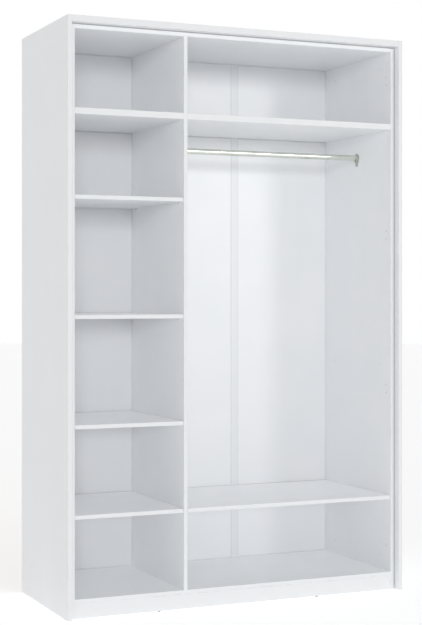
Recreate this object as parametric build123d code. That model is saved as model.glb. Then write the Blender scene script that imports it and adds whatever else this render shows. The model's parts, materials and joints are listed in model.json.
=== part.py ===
from build123d import *
import os

# Open wardrobe: an inner carcass with shelves and a hanging rail, inside an outer shell of two sides
# and a top that stand proud of it at the front. All sizes are in millimetres.
# The origin is on the ground, in the middle of the footprint. +X runs along the width, the front
# faces -Y, and +Z is up.

# Overall size of the boards.
overall_width = 1500.0
overall_depth = 600.0
overall_height = 2340.0

# Boards.
board_thickness = 16.0
outer_side_thickness = 18.0
outer_top_thickness = 25.0
fixed_shelf_thickness = 25.0
back_panel_thickness = 3.0
edge_radius = 1.0

# How the boards stand to each other.
shell_gap = 5.0
front_setback = 30.0
plinth_height = 62.0
glide_height = 3.0
shelf_back_gap = 3.0
loose_shelf_setback = 2.0
loose_shelf_side_gap = 1.0
back_panel_count = 3
panel_joint_gap = 1.0

# Levels: the fixed shelf hangs a set height below the ceiling, and each loose shelf's underside sits
# at a share of the clear height between the floor board and the fixed shelf.
top_compartment_height = 306.0
loose_shelf_levels = {
    "shelf_left_bottom": 0.164,
    "shelf_left_lower": 0.350,
    "shelf_left_middle": 0.577,
    "shelf_left_upper": 0.825,
    "shelf_right_bottom": 0.164,
}

# Plastic strip of H section that joins two back panels.
strip_width = 35.0
strip_wall = 1.0
strip_slot_clearance = 0.1
strip_end_clearance = 0.5

# Hanging rail and its two open saddles.
rail_diameter = 25.0
rail_wall = 1.2
rail_drop = 97.0
rail_end_gap = 1.0
saddle_clearance = 0.4
saddle_wall = 2.5
saddle_reach = 14.0
saddle_arm = 6.0
bracket_plate_thickness = 2.5
bracket_plate_margin = 4.5
bracket_lug_radius = 9.0
bracket_lug_drop = 30.0

# Clearances of drilled holes.
bore_clearance = 0.1
tip_clearance = 1.0

# Confirmat screws and dowels of the carcass joints.
joint_inset = 60.0
dowel_inset = 110.0
confirmat_head_radius = 5.0
confirmat_head_length = 3.0
confirmat_shank_radius = 3.5
confirmat_thread_radius = 2.5
confirmat_grip = 34.0
dowel_radius = 4.0
dowel_length = 30.0
dowel_skin = 6.0
plinth_dowel_shares = (-0.75, 0.0, 0.75)

# Cam fittings of the joints that may show no screw.
cam_inset = 150.0
cam_radius = 7.5
cam_setback = 34.0
cam_depth_past_bolt = 5.5
cam_slot_width = 1.6
cam_slot_depth = 2.0
cam_bolt_thread_radius = 2.5
cam_bolt_shank_radius = 3.0
cam_bolt_skin = 6.0
cam_bolt_overrun = 1.0
cam_notch_clearance = 0.4

# Shelf supports of the loose shelves: a barrel in the board and a wedge under the shelf.
support_inset = 50.0
support_hole_radius = 2.5
support_hole_web = 1.0
support_tip_gap = 0.5
support_width = 8.0
support_reach = 7.0
support_lip = 2.0
support_heel = 1.5
support_height = 9.0

# Pairs of holes for the mounting plates of door hinges.
hinge_line = 37.0
hinge_hole_radius = 2.5
hinge_hole_skin = 5.0
hinge_hole_spacing = 32.0
hinge_end_distance = 120.0
hinge_count = 4

# Screws, spacers and caps that hold the outer sides to the carcass, and pads below the outer top.
shell_screw_inset = 90.0
shell_screw_end_distance = 60.0
shell_screw_head_radius = 4.5
shell_screw_head_length = 3.0
shell_screw_radius = 2.25
shell_screw_skin = 6.0
spacer_radius = 20.0
cap_radius = 6.0
cap_height = 1.0
cap_edge = 0.4
top_pad_share = 0.6

# Nails of the back panels.
nail_radius = 0.7
nail_length = 20.0
nail_head_radius = 1.75
nail_head_height = 0.8
nail_rows = 11
nails_per_panel_end = 2
nail_end_distance = 40.0
nail_edge_share = 0.25

# Furniture glides under the boards that reach the ground.
glide_radius = 7.0
glide_spike_radius = 1.0
glide_spike_length = 12.0
glide_inset = 50.0
plinth_glide_shares = (-0.5, 0.5)

# Angle brackets that tie the outer top to the wall.
wall_bracket_inset = 200.0
wall_bracket_width = 30.0
wall_bracket_leg = 42.0
wall_bracket_height = 26.0
wall_bracket_metal = 2.0
wall_bracket_hole_radius = 3.0
wall_bracket_hole_height = 15.0
wall_bracket_screw_insets = (14.0, 30.0)
small_screw_head_radius = 3.4
small_screw_head_length = 1.6
small_screw_radius = 1.7
small_screw_length = 12.0

# Planes worked out from the sizes above.
half_width = overall_width / 2
front = -overall_depth / 2
back = overall_depth / 2
outer_inner_x = half_width - outer_side_thickness
carcass_x = outer_inner_x - shell_gap
bay_x = carcass_x - board_thickness
carcass_front = front + front_setback
panel_back = back - strip_wall - strip_slot_clearance
carcass_back = panel_back - back_panel_thickness
outer_top_z = overall_height - outer_top_thickness
carcass_top_z = outer_top_z - shell_gap
ceiling_z = carcass_top_z - board_thickness
floor_z = plinth_height + board_thickness
fixed_shelf_top_z = ceiling_z - top_compartment_height
fixed_shelf_z = fixed_shelf_top_z - fixed_shelf_thickness
shelf_back = carcass_back - shelf_back_gap
panel_pitch = 2 * carcass_x / back_panel_count
divider_x = -carcass_x + panel_pitch
strip_x = carcass_x - panel_pitch
divider_left_x = divider_x - board_thickness / 2
divider_right_x = divider_x + board_thickness / 2
rail_y = (carcass_front + carcass_back) / 2
rail_z = fixed_shelf_z - rail_drop
screw_ys = (carcass_front + joint_inset, carcass_back - joint_inset)
dowel_ys = (carcass_front + dowel_inset, carcass_back - dowel_inset)
cam_ys = (carcass_front + cam_inset, carcass_back - cam_inset)
glide_ys = (carcass_front + glide_inset, carcass_back - glide_inset)
outer_glide_ys = (front + glide_inset, 0.0, back - glide_inset)
sides = ((-1, "left"), (1, "right"))

up = (0, 0, 1)
down = (0, 0, -1)
backward = (0, 1, 0)
forward = (0, -1, 0)

blanks = {}
bores = {}
groups = {}


def toward(sign):
    """Unit direction along X with the given sign."""
    return (sign, 0, 0)


def level_of(shelf):
    """Height of a loose shelf's underside."""
    return floor_z + loose_shelf_levels[shelf] * (fixed_shelf_z - floor_z)


def slab(name, xs, ys, zs, front_edges_along=None):
    """Adds a board as a box between three pairs of planes, its two front edges rounded."""
    (x0, x1), (y0, y1), (z0, z1) = xs, ys, zs
    solid = Pos((x0 + x1) / 2, (y0 + y1) / 2, (z0 + z1) / 2) * Box(x1 - x0, y1 - y0, z1 - z0)
    if front_edges_along is not None:
        front_edges = solid.edges().filter_by(front_edges_along).group_by(Axis.Y)[0]
        solid = fillet(front_edges, edge_radius)
    blanks[name] = solid
    bores[name] = []


def turned(point, direction, steps, grow=0.0):
    """A round piece of cones end to end, each a start radius, an end radius and a length."""
    along = Vector(*point)
    axis = Vector(*direction)
    piece = None
    for start_radius, end_radius, length in steps:
        plane = Plane(origin=along, z_dir=axis)
        if start_radius == end_radius:
            step = Solid.make_cylinder(start_radius + grow, length, plane)
        else:
            step = Solid.make_cone(start_radius + grow, end_radius + grow, length, plane)
        piece = step if piece is None else piece + step
        along = along + axis * length
    return piece


def drill(names, point, direction, steps):
    """Drills the bore of a turned piece in the named boards, a little wider and deeper than it."""
    start_radius, end_radius, length = steps[-1]
    deeper = [*steps[:-1], (start_radius, end_radius, length + tip_clearance)]
    bore = turned(point, direction, deeper, bore_clearance)
    for name in names:
        bores[name].append(bore)


def fix(group, names, point, direction, steps):
    """Adds a turned fastener to its group and drills its bore in the boards it passes."""
    groups.setdefault(group, []).append(turned(point, direction, steps))
    drill(names, point, direction, steps)


def build_shell():
    """Outer sides and outer top."""
    for sign, hand in sides:
        xs = sorted((sign * half_width, sign * outer_inner_x))
        slab(f"outer_side_{hand}", xs, (front, back), (glide_height, overall_height), Axis.Z)
    slab("outer_top", (-outer_inner_x, outer_inner_x), (front, back), (outer_top_z, overall_height), Axis.X)


def build_carcass():
    """Carcass sides, top, floor board, divider and plinth."""
    ys = (carcass_front, carcass_back)
    for sign, hand in sides:
        xs = sorted((sign * carcass_x, sign * bay_x))
        slab(f"carcass_side_{hand}", xs, ys, (glide_height, carcass_top_z), Axis.Z)
    slab("carcass_top", (-bay_x, bay_x), ys, (ceiling_z, carcass_top_z), Axis.X)
    slab("carcass_floor", (-bay_x, bay_x), ys, (plinth_height, floor_z), Axis.X)
    slab("divider", (divider_left_x, divider_right_x), ys, (floor_z, ceiling_z), Axis.Z)
    plinth_zs = (glide_height, plinth_height)
    front_ys = (carcass_front, carcass_front + board_thickness)
    rear_ys = (carcass_back - board_thickness, carcass_back)
    slab("plinth_front", (-bay_x, bay_x), front_ys, plinth_zs)
    slab("plinth_rear", (-bay_x, bay_x), rear_ys, plinth_zs)
    slab("plinth_bearer", (divider_left_x, divider_right_x), (front_ys[1], rear_ys[0]), plinth_zs)


def build_shelves():
    """Fixed shelves on both sides of the divider, and the loose shelves."""
    fixed_ys = (carcass_front, shelf_back)
    fixed_zs = (fixed_shelf_z, fixed_shelf_top_z)
    slab("top_shelf_left", (-bay_x, divider_left_x), fixed_ys, fixed_zs, Axis.X)
    slab("top_shelf_right", (divider_right_x, bay_x), fixed_ys, fixed_zs, Axis.X)
    loose_ys = (carcass_front + loose_shelf_setback, shelf_back)
    for name in loose_shelf_levels:
        low, high = (-bay_x, divider_left_x) if "left" in name else (divider_right_x, bay_x)
        xs = (low + loose_shelf_side_gap, high - loose_shelf_side_gap)
        z = level_of(name)
        slab(name, xs, loose_ys, (z, z + board_thickness), Axis.X)


def build_back():
    """Three back panels, and the strip that joins the middle one to the right one."""
    ys = (carcass_back, panel_back)
    zs = (plinth_height, carcass_top_z)
    half_joint = panel_joint_gap / 2
    slot_floor = strip_wall / 2 + strip_slot_clearance
    slab("back_panel_left", (-carcass_x, divider_x - half_joint), ys, zs)
    slab("back_panel_middle", (divider_x + half_joint, strip_x - slot_floor), ys, zs)
    slab("back_panel_right", (strip_x + slot_floor, carcass_x), ys, zs)


def back_joint_strip():
    """Strip of H section, from the floor board to the ceiling."""
    z0 = floor_z + strip_end_clearance
    height = ceiling_z - strip_end_clearance - z0
    middle_y = (carcass_back + panel_back) / 2
    outer = back_panel_thickness + 2 * (strip_slot_clearance + strip_wall)
    flange_offset = (outer - strip_wall) / 2
    section = Rectangle(strip_wall, outer)
    for offset in (-flange_offset, flange_offset):
        section += Pos(0, offset) * Rectangle(strip_width, strip_wall)
    return Pos(strip_x, middle_y, z0) * extrude(section, height)


def join_sides():
    """Confirmats and dowels through the carcass sides into the boards between them."""
    head = (confirmat_head_radius, confirmat_shank_radius, confirmat_head_length)
    shank = (confirmat_shank_radius, confirmat_shank_radius, board_thickness - confirmat_head_length)
    thread = (confirmat_thread_radius, confirmat_thread_radius, confirmat_grip)
    confirmat = [head, shank, thread]
    dowel = [(dowel_radius, dowel_radius, dowel_length)]
    for sign, hand in sides:
        side = f"carcass_side_{hand}"
        inward = toward(-sign)
        levels = {
            "carcass_top": ceiling_z + board_thickness / 2,
            "carcass_floor": plinth_height + board_thickness / 2,
            f"top_shelf_{hand}": fixed_shelf_z + fixed_shelf_thickness / 2,
        }
        for name, z in levels.items():
            for y in screw_ys:
                fix("confirmat_screws", (side, name), (sign * carcass_x, y, z), inward, confirmat)
            for y in dowel_ys:
                start = (sign * (carcass_x - dowel_skin), y, z)
                fix("wood_dowels", (side, name), start, inward, dowel)
        plinth_z = (glide_height + plinth_height) / 2
        plinth_ys = {
            "plinth_front": carcass_front + board_thickness / 2,
            "plinth_rear": carcass_back - board_thickness / 2,
        }
        for name, y in plinth_ys.items():
            fix("confirmat_screws", (side, name), (sign * carcass_x, y, plinth_z), inward, confirmat)
    return confirmat, dowel


def join_divider(confirmat, dowel):
    """Confirmats and dowels that hold the divider, and the right fixed shelf to it."""
    for y in screw_ys:
        from_top = (divider_x, y, carcass_top_z)
        from_below = (divider_x, y, plinth_height)
        from_left = (divider_left_x, y, fixed_shelf_z + fixed_shelf_thickness / 2)
        fix("confirmat_screws", ("carcass_top", "divider"), from_top, down, confirmat)
        fix("confirmat_screws", ("carcass_floor", "divider"), from_below, up, confirmat)
        fix("confirmat_screws", ("divider", "top_shelf_right"), from_left, toward(1), confirmat)
    for y in dowel_ys:
        in_top = (divider_x, y, carcass_top_z - dowel_skin)
        in_floor = (divider_x, y, plinth_height + dowel_skin)
        fix("wood_dowels", ("carcass_top", "divider"), in_top, down, dowel)
        fix("wood_dowels", ("carcass_floor", "divider"), in_floor, up, dowel)


def join_plinth(dowel):
    """Dowels between the floor board and the plinth boards, and at the ends of the bearer."""
    front_y = carcass_front + board_thickness / 2
    rear_y = carcass_back - board_thickness / 2
    for share in plinth_dowel_shares:
        for name, y in (("plinth_front", front_y), ("plinth_rear", rear_y)):
            start = (share * bay_x, y, floor_z - dowel_skin)
            fix("wood_dowels", ("carcass_floor", name), start, down, dowel)
    bearer_z = (glide_height + plinth_height) / 2
    at_front = (divider_x, carcass_front + dowel_skin, bearer_z)
    at_rear = (divider_x, carcass_back - dowel_skin, bearer_z)
    fix("wood_dowels", ("plinth_front", "plinth_bearer"), at_front, backward, dowel)
    fix("wood_dowels", ("plinth_rear", "plinth_bearer"), at_rear, forward, dowel)


def cam_fitting(anchor, board, joint_x, y, direction, anchor_thickness, bolt_z, face_z):
    """A bolt that stands in one board, and the cam in the next board that pulls it tight.

    The bolt leaves the anchor board at joint_x, and the cam is let in from the face at face_z.
    """
    sign = direction[0]
    anchored = anchor_thickness - cam_bolt_skin
    start = (joint_x - sign * anchored, y, bolt_z)
    reach = cam_setback + cam_bolt_overrun
    thread = (cam_bolt_thread_radius, cam_bolt_thread_radius, anchored)
    shank = (cam_bolt_shank_radius, cam_bolt_shank_radius, reach)
    fix("cam_bolts", (anchor, board), start, direction, [thread, shank])
    inward = 1 if bolt_z > face_z else -1
    depth = abs(bolt_z - face_z) + cam_depth_past_bolt
    cam_x = joint_x + sign * cam_setback
    face = (cam_x, y, face_z)
    pocket = (cam_radius, cam_radius, depth)
    bores[board].append(turned(face, (0, 0, inward), [pocket], bore_clearance))
    notch_start = (cam_x - sign * 2 * cam_radius, y, bolt_z)
    notch_length = 2 * cam_radius + cam_bolt_overrun + tip_clearance
    notch = (cam_bolt_shank_radius, cam_bolt_shank_radius, notch_length)
    slot = Pos(cam_x, y, face_z) * Box(cam_radius, cam_slot_width, 2 * cam_slot_depth)
    cam = turned(face, (0, 0, inward), [pocket])
    cam -= turned(notch_start, direction, [notch], cam_notch_clearance)
    groups.setdefault("cam_discs", []).append(cam - slot)


def join_with_cams():
    """Cam fittings of the left fixed shelf at the divider, and of the outer top at the outer sides."""
    shelf_bolt_z = fixed_shelf_z + fixed_shelf_thickness / 2
    top_bolt_z = outer_top_z + outer_top_thickness / 2
    for y in cam_ys:
        cam_fitting(
            "divider", "top_shelf_left", divider_left_x, y, toward(-1),
            board_thickness, shelf_bolt_z, fixed_shelf_top_z,
        )
        for sign, hand in sides:
            cam_fitting(
                f"outer_side_{hand}", "outer_top", sign * outer_inner_x, y, toward(-sign),
                outer_side_thickness, top_bolt_z, outer_top_z,
            )


def support_wedge(wall_x, y, z, sign):
    """The wedge of a shelf support, below the shelf; sign points away from the wall."""
    outline = Polyline(
        (0, 0), (support_reach, 0), (support_reach, -support_lip),
        (support_heel, -support_height), (0, -support_height), close=True,
    )
    corner = (wall_x, y + sign * support_width / 2, z)
    plane = Plane(origin=corner, x_dir=toward(sign), z_dir=(0, -sign, 0))
    return extrude(plane * make_face(outline), support_width)


def build_supports():
    """Four supports for each loose shelf, in blind holes of the boards beside it."""
    hole_depth = (board_thickness - support_hole_web) / 2
    hole = [(support_hole_radius, support_hole_radius, hole_depth)]
    barrel_radius = support_hole_radius - bore_clearance
    barrel = [(barrel_radius, barrel_radius, hole_depth - support_tip_gap)]
    barrel_drop = support_height / 2
    ys = (carcass_front + loose_shelf_setback + support_inset, shelf_back - support_inset)
    for name in loose_shelf_levels:
        if "left" in name:
            walls = (("carcass_side_left", -bay_x, 1), ("divider", divider_left_x, -1))
        else:
            walls = (("divider", divider_right_x, 1), ("carcass_side_right", bay_x, -1))
        z = level_of(name)
        for wall, wall_x, sign in walls:
            for y in ys:
                start = (wall_x, y, z - barrel_drop)
                into_wall = toward(-sign)
                support = support_wedge(wall_x, y, z, sign) + turned(start, into_wall, barrel)
                groups.setdefault("shelf_supports", []).append(support)
                bores[wall].append(turned(start, into_wall, hole))


def drill_hinge_holes():
    """Pairs of blind holes for the mounting plates of door hinges, in both carcass sides."""
    lowest = floor_z + hinge_end_distance
    highest = ceiling_z - hinge_end_distance
    depth = board_thickness - hinge_hole_skin
    for index in range(hinge_count):
        middle_z = lowest + index * (highest - lowest) / (hinge_count - 1)
        for z in (middle_z - hinge_hole_spacing / 2, middle_z + hinge_hole_spacing / 2):
            for sign, hand in sides:
                start = (sign * bay_x, carcass_front + hinge_line, z)
                hole = [(hinge_hole_radius, hinge_hole_radius, depth)]
                bores[f"carcass_side_{hand}"].append(turned(start, toward(sign), hole))


def join_shell():
    """Spacers, screws and caps between the outer sides and the carcass, and pads below the outer top."""
    head = (shell_screw_head_radius, shell_screw_radius, shell_screw_head_length)
    length = board_thickness + shell_gap + outer_side_thickness - shell_screw_skin - shell_screw_head_length
    screw = [head, (shell_screw_radius, shell_screw_radius, length)]
    pad = [(spacer_radius, spacer_radius, shell_gap)]
    middle_z = (level_of("shelf_left_lower") + board_thickness + level_of("shelf_left_middle")) / 2
    zs = (floor_z + shell_screw_end_distance, middle_z, ceiling_z - shell_screw_end_distance)
    ys = (carcass_front + shell_screw_inset, carcass_back - shell_screw_inset)
    for sign, hand in sides:
        outward = toward(sign)
        boards = (f"carcass_side_{hand}", f"outer_side_{hand}")
        for y in ys:
            for z in zs:
                start = (sign * bay_x, y, z)
                fix("shell_screws", boards, start, outward, screw)
                ring = turned((sign * carcass_x, y, z), outward, pad)
                spacer = ring - turned(start, outward, screw, bore_clearance)
                groups.setdefault("shell_spacers", []).append(spacer)
                cap = turned(start, toward(-sign), [(cap_radius, cap_radius, cap_height)])
                rim = cap.edges().filter_by(GeomType.CIRCLE).sort_by(Axis.X)[0 if sign > 0 else -1]
                groups.setdefault("screw_caps", []).append(fillet(rim, cap_edge))
    for x in (-top_pad_share * bay_x, top_pad_share * bay_x):
        for y in screw_ys:
            groups["shell_spacers"].append(turned((x, y, carcass_top_z), up, pad))


def nail_back_panels():
    """Nails along the carcass sides, the divider, the top and the floor board."""
    start_y = panel_back + nail_head_height
    head = (nail_head_radius, nail_head_radius, nail_head_height)
    nail = [head, (nail_radius, nail_radius, nail_length)]
    lowest = floor_z + nail_end_distance
    highest = ceiling_z - nail_end_distance
    edge_offset = nail_edge_share * board_thickness
    columns = (
        (-carcass_x + board_thickness / 2, "carcass_side_left", "back_panel_left"),
        (divider_x - edge_offset, "divider", "back_panel_left"),
        (divider_x + edge_offset, "divider", "back_panel_middle"),
        (carcass_x - board_thickness / 2, "carcass_side_right", "back_panel_right"),
    )
    for x, board, panel in columns:
        for row in range(nail_rows):
            z = lowest + row * (highest - lowest) / (nail_rows - 1)
            fix("back_panel_nails", (board, panel), (x, start_y, z), forward, nail)
    rows = (
        ("carcass_floor", plinth_height + board_thickness / 2),
        ("carcass_top", ceiling_z + board_thickness / 2),
    )
    for index, panel in enumerate(("back_panel_left", "back_panel_middle", "back_panel_right")):
        for step in range(nails_per_panel_end):
            x = -carcass_x + panel_pitch * (index + (step + 1) / (nails_per_panel_end + 1))
            for board, z in rows:
                fix("back_panel_nails", (board, panel), (x, start_y, z), forward, nail)


def lay_glides():
    """Glides under the boards that reach the ground."""
    pad = (glide_radius, glide_radius, glide_height)
    spike = (glide_spike_radius, glide_spike_radius, glide_spike_length)
    places = []
    for sign, hand in sides:
        outer_x = sign * (half_width - outer_side_thickness / 2)
        carcass_side_x = sign * (carcass_x - board_thickness / 2)
        places += [(f"outer_side_{hand}", outer_x, y) for y in outer_glide_ys]
        places += [(f"carcass_side_{hand}", carcass_side_x, y) for y in glide_ys]
    for share in plinth_glide_shares:
        places.append(("plinth_front", share * bay_x, carcass_front + board_thickness / 2))
        places.append(("plinth_rear", share * bay_x, carcass_back - board_thickness / 2))
    places.append(("plinth_bearer", divider_x, 0.0))
    for board, x, y in places:
        fix("floor_glides", (board,), (x, y, 0.0), up, [pad, spike])


def small_screw(metal):
    """Steps of a countersunk screw whose head lies flush in a piece of metal of that thickness."""
    head = (small_screw_head_radius, small_screw_radius, small_screw_head_length)
    shank_length = small_screw_length + metal - small_screw_head_length
    return [head, (small_screw_radius, small_screw_radius, shank_length)]


def rail_bracket(wall, wall_x, sign):
    """A plate on the wall with an open saddle for the rail; sign points away from the wall."""
    plane = Plane(origin=(wall_x, rail_y, rail_z), x_dir=(0, sign, 0), z_dir=toward(sign))
    inner_radius = rail_diameter / 2 + saddle_clearance
    outer_radius = inner_radius + saddle_wall
    lug = Pos(0, -bracket_lug_drop) * Circle(bracket_lug_radius)
    plate_outline = make_hull(Circle(outer_radius + bracket_plate_margin).edges() + lug.edges())
    lower_half = Pos(0, -outer_radius / 2) * Rectangle(2 * outer_radius, outer_radius)
    arms = Pos(0, saddle_arm / 2) * Rectangle(2 * outer_radius, saddle_arm)
    mouth = Pos(0, saddle_arm / 2) * Rectangle(2 * inner_radius, saddle_arm)
    saddle_outline = (Circle(outer_radius) & lower_half) + arms - Circle(inner_radius) - mouth
    plate = extrude(plane * plate_outline, bracket_plate_thickness)
    bracket = plate + extrude(plane * saddle_outline, saddle_reach)
    for drop in (0.0, bracket_lug_drop):
        start = (wall_x + sign * bracket_plate_thickness, rail_y, rail_z - drop)
        screw = small_screw(bracket_plate_thickness)
        fix("rail_bracket_screws", (wall,), start, toward(-sign), screw)
        bracket -= turned(start, toward(-sign), screw, bore_clearance)
    return bracket


def hanging_rail():
    """Round steel tube that lies in the two saddles."""
    end_gap = bracket_plate_thickness + rail_end_gap
    x0 = divider_right_x + end_gap
    length = bay_x - end_gap - x0
    radius = rail_diameter / 2
    start = (x0, rail_y, rail_z)
    tube = turned(start, toward(1), [(radius, radius, length)])
    return tube - turned(start, toward(1), [(radius - rail_wall, radius - rail_wall, length)])


def wall_bracket(sign):
    """Steel angle on the outer top, with one leg standing against the wall."""
    x = sign * (half_width - wall_bracket_inset)
    top = overall_height
    width = wall_bracket_width
    leg = wall_bracket_leg
    height = wall_bracket_height
    metal = wall_bracket_metal
    lying = Pos(x, back - leg / 2, top + metal / 2) * Box(width, leg, metal)
    upright = Pos(x, back - metal / 2, top + height / 2) * Box(width, metal, height)
    bracket = lying + upright
    for inset in wall_bracket_screw_insets:
        start = (x, back - inset, top + metal)
        screw = small_screw(metal)
        fix("wall_bracket_screws", ("outer_top",), start, down, screw)
        bracket -= turned(start, down, screw, bore_clearance)
    hole = [(wall_bracket_hole_radius, wall_bracket_hole_radius, metal)]
    return bracket - turned((x, back, top + wall_bracket_hole_height), forward, hole)


def build_wardrobe():
    """All nodes of the wardrobe by name."""
    build_shell()
    build_carcass()
    build_shelves()
    build_back()
    confirmat, dowel = join_sides()
    join_divider(confirmat, dowel)
    join_plinth(dowel)
    join_with_cams()
    build_supports()
    drill_hinge_holes()
    join_shell()
    nail_back_panels()
    lay_glides()
    nodes = {
        "back_joint_strip": back_joint_strip(),
        "hanging_rail": hanging_rail(),
        "rail_bracket_left": rail_bracket("divider", divider_right_x, 1),
        "rail_bracket_right": rail_bracket("carcass_side_right", bay_x, -1),
        "wall_bracket_left": wall_bracket(-1),
        "wall_bracket_right": wall_bracket(1),
    }
    for name, blank in blanks.items():
        nodes[name] = blank - bores[name] if bores[name] else blank
    for name, solids in groups.items():
        nodes[name] = Compound(children=[solid.solid() for solid in solids])
    return nodes


os.makedirs("parts", exist_ok=True)
for node_name, shape in build_wardrobe().items():
    export_step(shape, f"parts/{node_name}.step")
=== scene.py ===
"""Looks of an open wardrobe: its finishes, its turned hardware and a plain studio around it.

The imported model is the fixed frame. Every board keeps its CAD shape and gets a finish worked out from
its own box. Screws, dowels, nails and glides are built again with their threads, recesses and flutes,
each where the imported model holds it.
"""

import json
import logging
import math
from dataclasses import dataclass
from enum import Enum
from functools import cached_property
from typing import Mapping, Sequence, Union

import bmesh
import bpy
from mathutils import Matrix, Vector


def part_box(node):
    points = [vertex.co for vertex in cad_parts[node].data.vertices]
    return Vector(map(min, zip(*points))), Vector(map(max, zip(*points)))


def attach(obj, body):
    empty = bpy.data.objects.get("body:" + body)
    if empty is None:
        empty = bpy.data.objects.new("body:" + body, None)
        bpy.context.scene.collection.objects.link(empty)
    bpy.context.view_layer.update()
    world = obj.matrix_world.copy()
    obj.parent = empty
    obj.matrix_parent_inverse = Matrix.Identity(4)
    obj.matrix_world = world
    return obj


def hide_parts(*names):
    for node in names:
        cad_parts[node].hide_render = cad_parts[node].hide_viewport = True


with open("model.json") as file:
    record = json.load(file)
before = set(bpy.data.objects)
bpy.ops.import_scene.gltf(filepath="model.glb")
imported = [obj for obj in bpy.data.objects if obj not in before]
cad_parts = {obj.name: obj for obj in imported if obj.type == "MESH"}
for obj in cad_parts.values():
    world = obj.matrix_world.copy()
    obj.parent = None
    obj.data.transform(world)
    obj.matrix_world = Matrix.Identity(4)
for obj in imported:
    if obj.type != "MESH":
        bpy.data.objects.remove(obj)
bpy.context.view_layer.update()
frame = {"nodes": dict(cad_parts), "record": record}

LOG = logging.getLogger("wardrobe")
MM = 0.001

# The attribute that holds a point's place in its own fastener: across, across, along, in millimetres.
OWN_PLACE = "own_place"

# Sockets of the Mix node that carry its two colours, and the settings that make it mix colours.
COLOUR_A = 6
COLOUR_B = 7
COLOURS = {"output": 2, "data_type": "RGBA"}

# Sockets of the Mix node that carry its two plain numbers.
NUMBER_A = 2
NUMBER_B = 3

# Settings that make a MapRange node ease in and out.
SMOOTH = {"interpolation_type": "SMOOTHSTEP"}

Socket = bpy.types.NodeSocket
Value = Union[float, Sequence[float], Socket]
Inputs = Mapping[Union[int, str], Value]
Range = tuple[float, float]
Triple = tuple[float, float, float]
Material = bpy.types.Material


class Axis(Enum):
    """The direction that a board's thickness lies along."""

    X = 0
    Y = 1
    Z = 2


class Recess(Enum):
    """How the head of a turned fastener is driven."""

    NONE = "none"
    CROSS = "cross"
    HEXAGON = "hexagon"


def linear(code: str) -> tuple[float, float, float, float]:
    """Turns an sRGB hex colour to the linear colour that a shader works in.

    Args:
        code: The colour as "#rrggbb".

    Returns:
        Red, green, blue and an alpha of 1, all from 0 to 1.
    """
    channels = [int(code[start:start + 2], 16) / 255 for start in (1, 3, 5)]
    powers = [c / 12.92 if c <= 0.04045 else ((c + 0.055) / 1.055) ** 2.4 for c in channels]
    return (powers[0], powers[1], powers[2], 1.0)


class Graph:
    """The node tree of one material or of the surroundings, which ends in one shader."""

    def __init__(self, name: str, kind: str = "materials", shader: str = "Principled BSDF") -> None:
        """Starts a tree with its shader alone.

        Args:
            name: The name of what the tree belongs to.
            kind: "materials" or "worlds".
            shader: The shader's name.
        """
        self.owner = getattr(bpy.data, kind).new(name)
        self.owner.use_nodes = True
        self.tree = self.owner.node_tree
        self.shader = self.tree.nodes[shader]

    @cached_property
    def place(self) -> Socket:
        """The place of a point in the wardrobe's own frame, in millimetres."""
        place = self.add("TexCoord", {}, "Object")
        return self.add("VectorMath", {0: place, "Scale": 1 / MM}, operation="SCALE")

    def add(self, kind: str, inputs: Inputs, output: Union[int, str] = 0, **settings: object) -> Socket:
        """Adds a node, sets it and links what comes into it.

        Args:
            kind: The node's type, without its ShaderNode prefix.
            inputs: What each input takes: a socket to link, or a constant.
            output: Which output to hand back.
            **settings: The node's own properties.

        Returns:
            The output asked for.
        """
        node = self.tree.nodes.new("ShaderNode" + kind)
        for name, setting in settings.items():
            setattr(node, name, setting)
        self.feed(node, inputs)
        return node.outputs[output]

    def feed(self, node: bpy.types.Node, inputs: Inputs) -> None:
        """Links or sets the inputs of a node.

        Args:
            node: The node.
            inputs: What each input takes: a socket to link, or a constant.
        """
        for key, value in inputs.items():
            if isinstance(value, Socket):
                self.tree.links.new(value, node.inputs[key])
            else:
                node.inputs[key].default_value = value

    def about_box(self, node: str) -> tuple[Socket, Socket, Vector]:
        """Where a point is about the middle of a CAD node's box, in millimetres.

        Args:
            node: The CAD node.

        Returns:
            Its offset from the middle, that offset without signs, and the box's half sizes.
        """
        low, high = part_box(node)
        offset = self.add("VectorMath", {0: self.place, 1: (low + high) / 2 / MM}, operation="SUBTRACT")
        reach = self.add("VectorMath", {0: offset}, operation="ABSOLUTE")
        return offset, reach, (high - low) / 2 / MM

    def finish(self, inputs: Inputs) -> Union[Material, bpy.types.World]:
        """Feeds the shader and hands back the finished material or surroundings."""
        self.feed(self.shader, inputs)
        return self.owner


def between(limits: Range, side: str = "From") -> dict[str, float]:
    """The limits of what comes in ("From") or goes out ("To") of a range, by its sockets' names."""
    return {f"{side} Min": limits[0], f"{side} Max": limits[1]}


def about(middle: float, spread: float) -> dict[str, float]:
    """The limits of what goes out, a spread to each side of a middle."""
    return between((middle - spread, middle + spread), "To")


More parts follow.
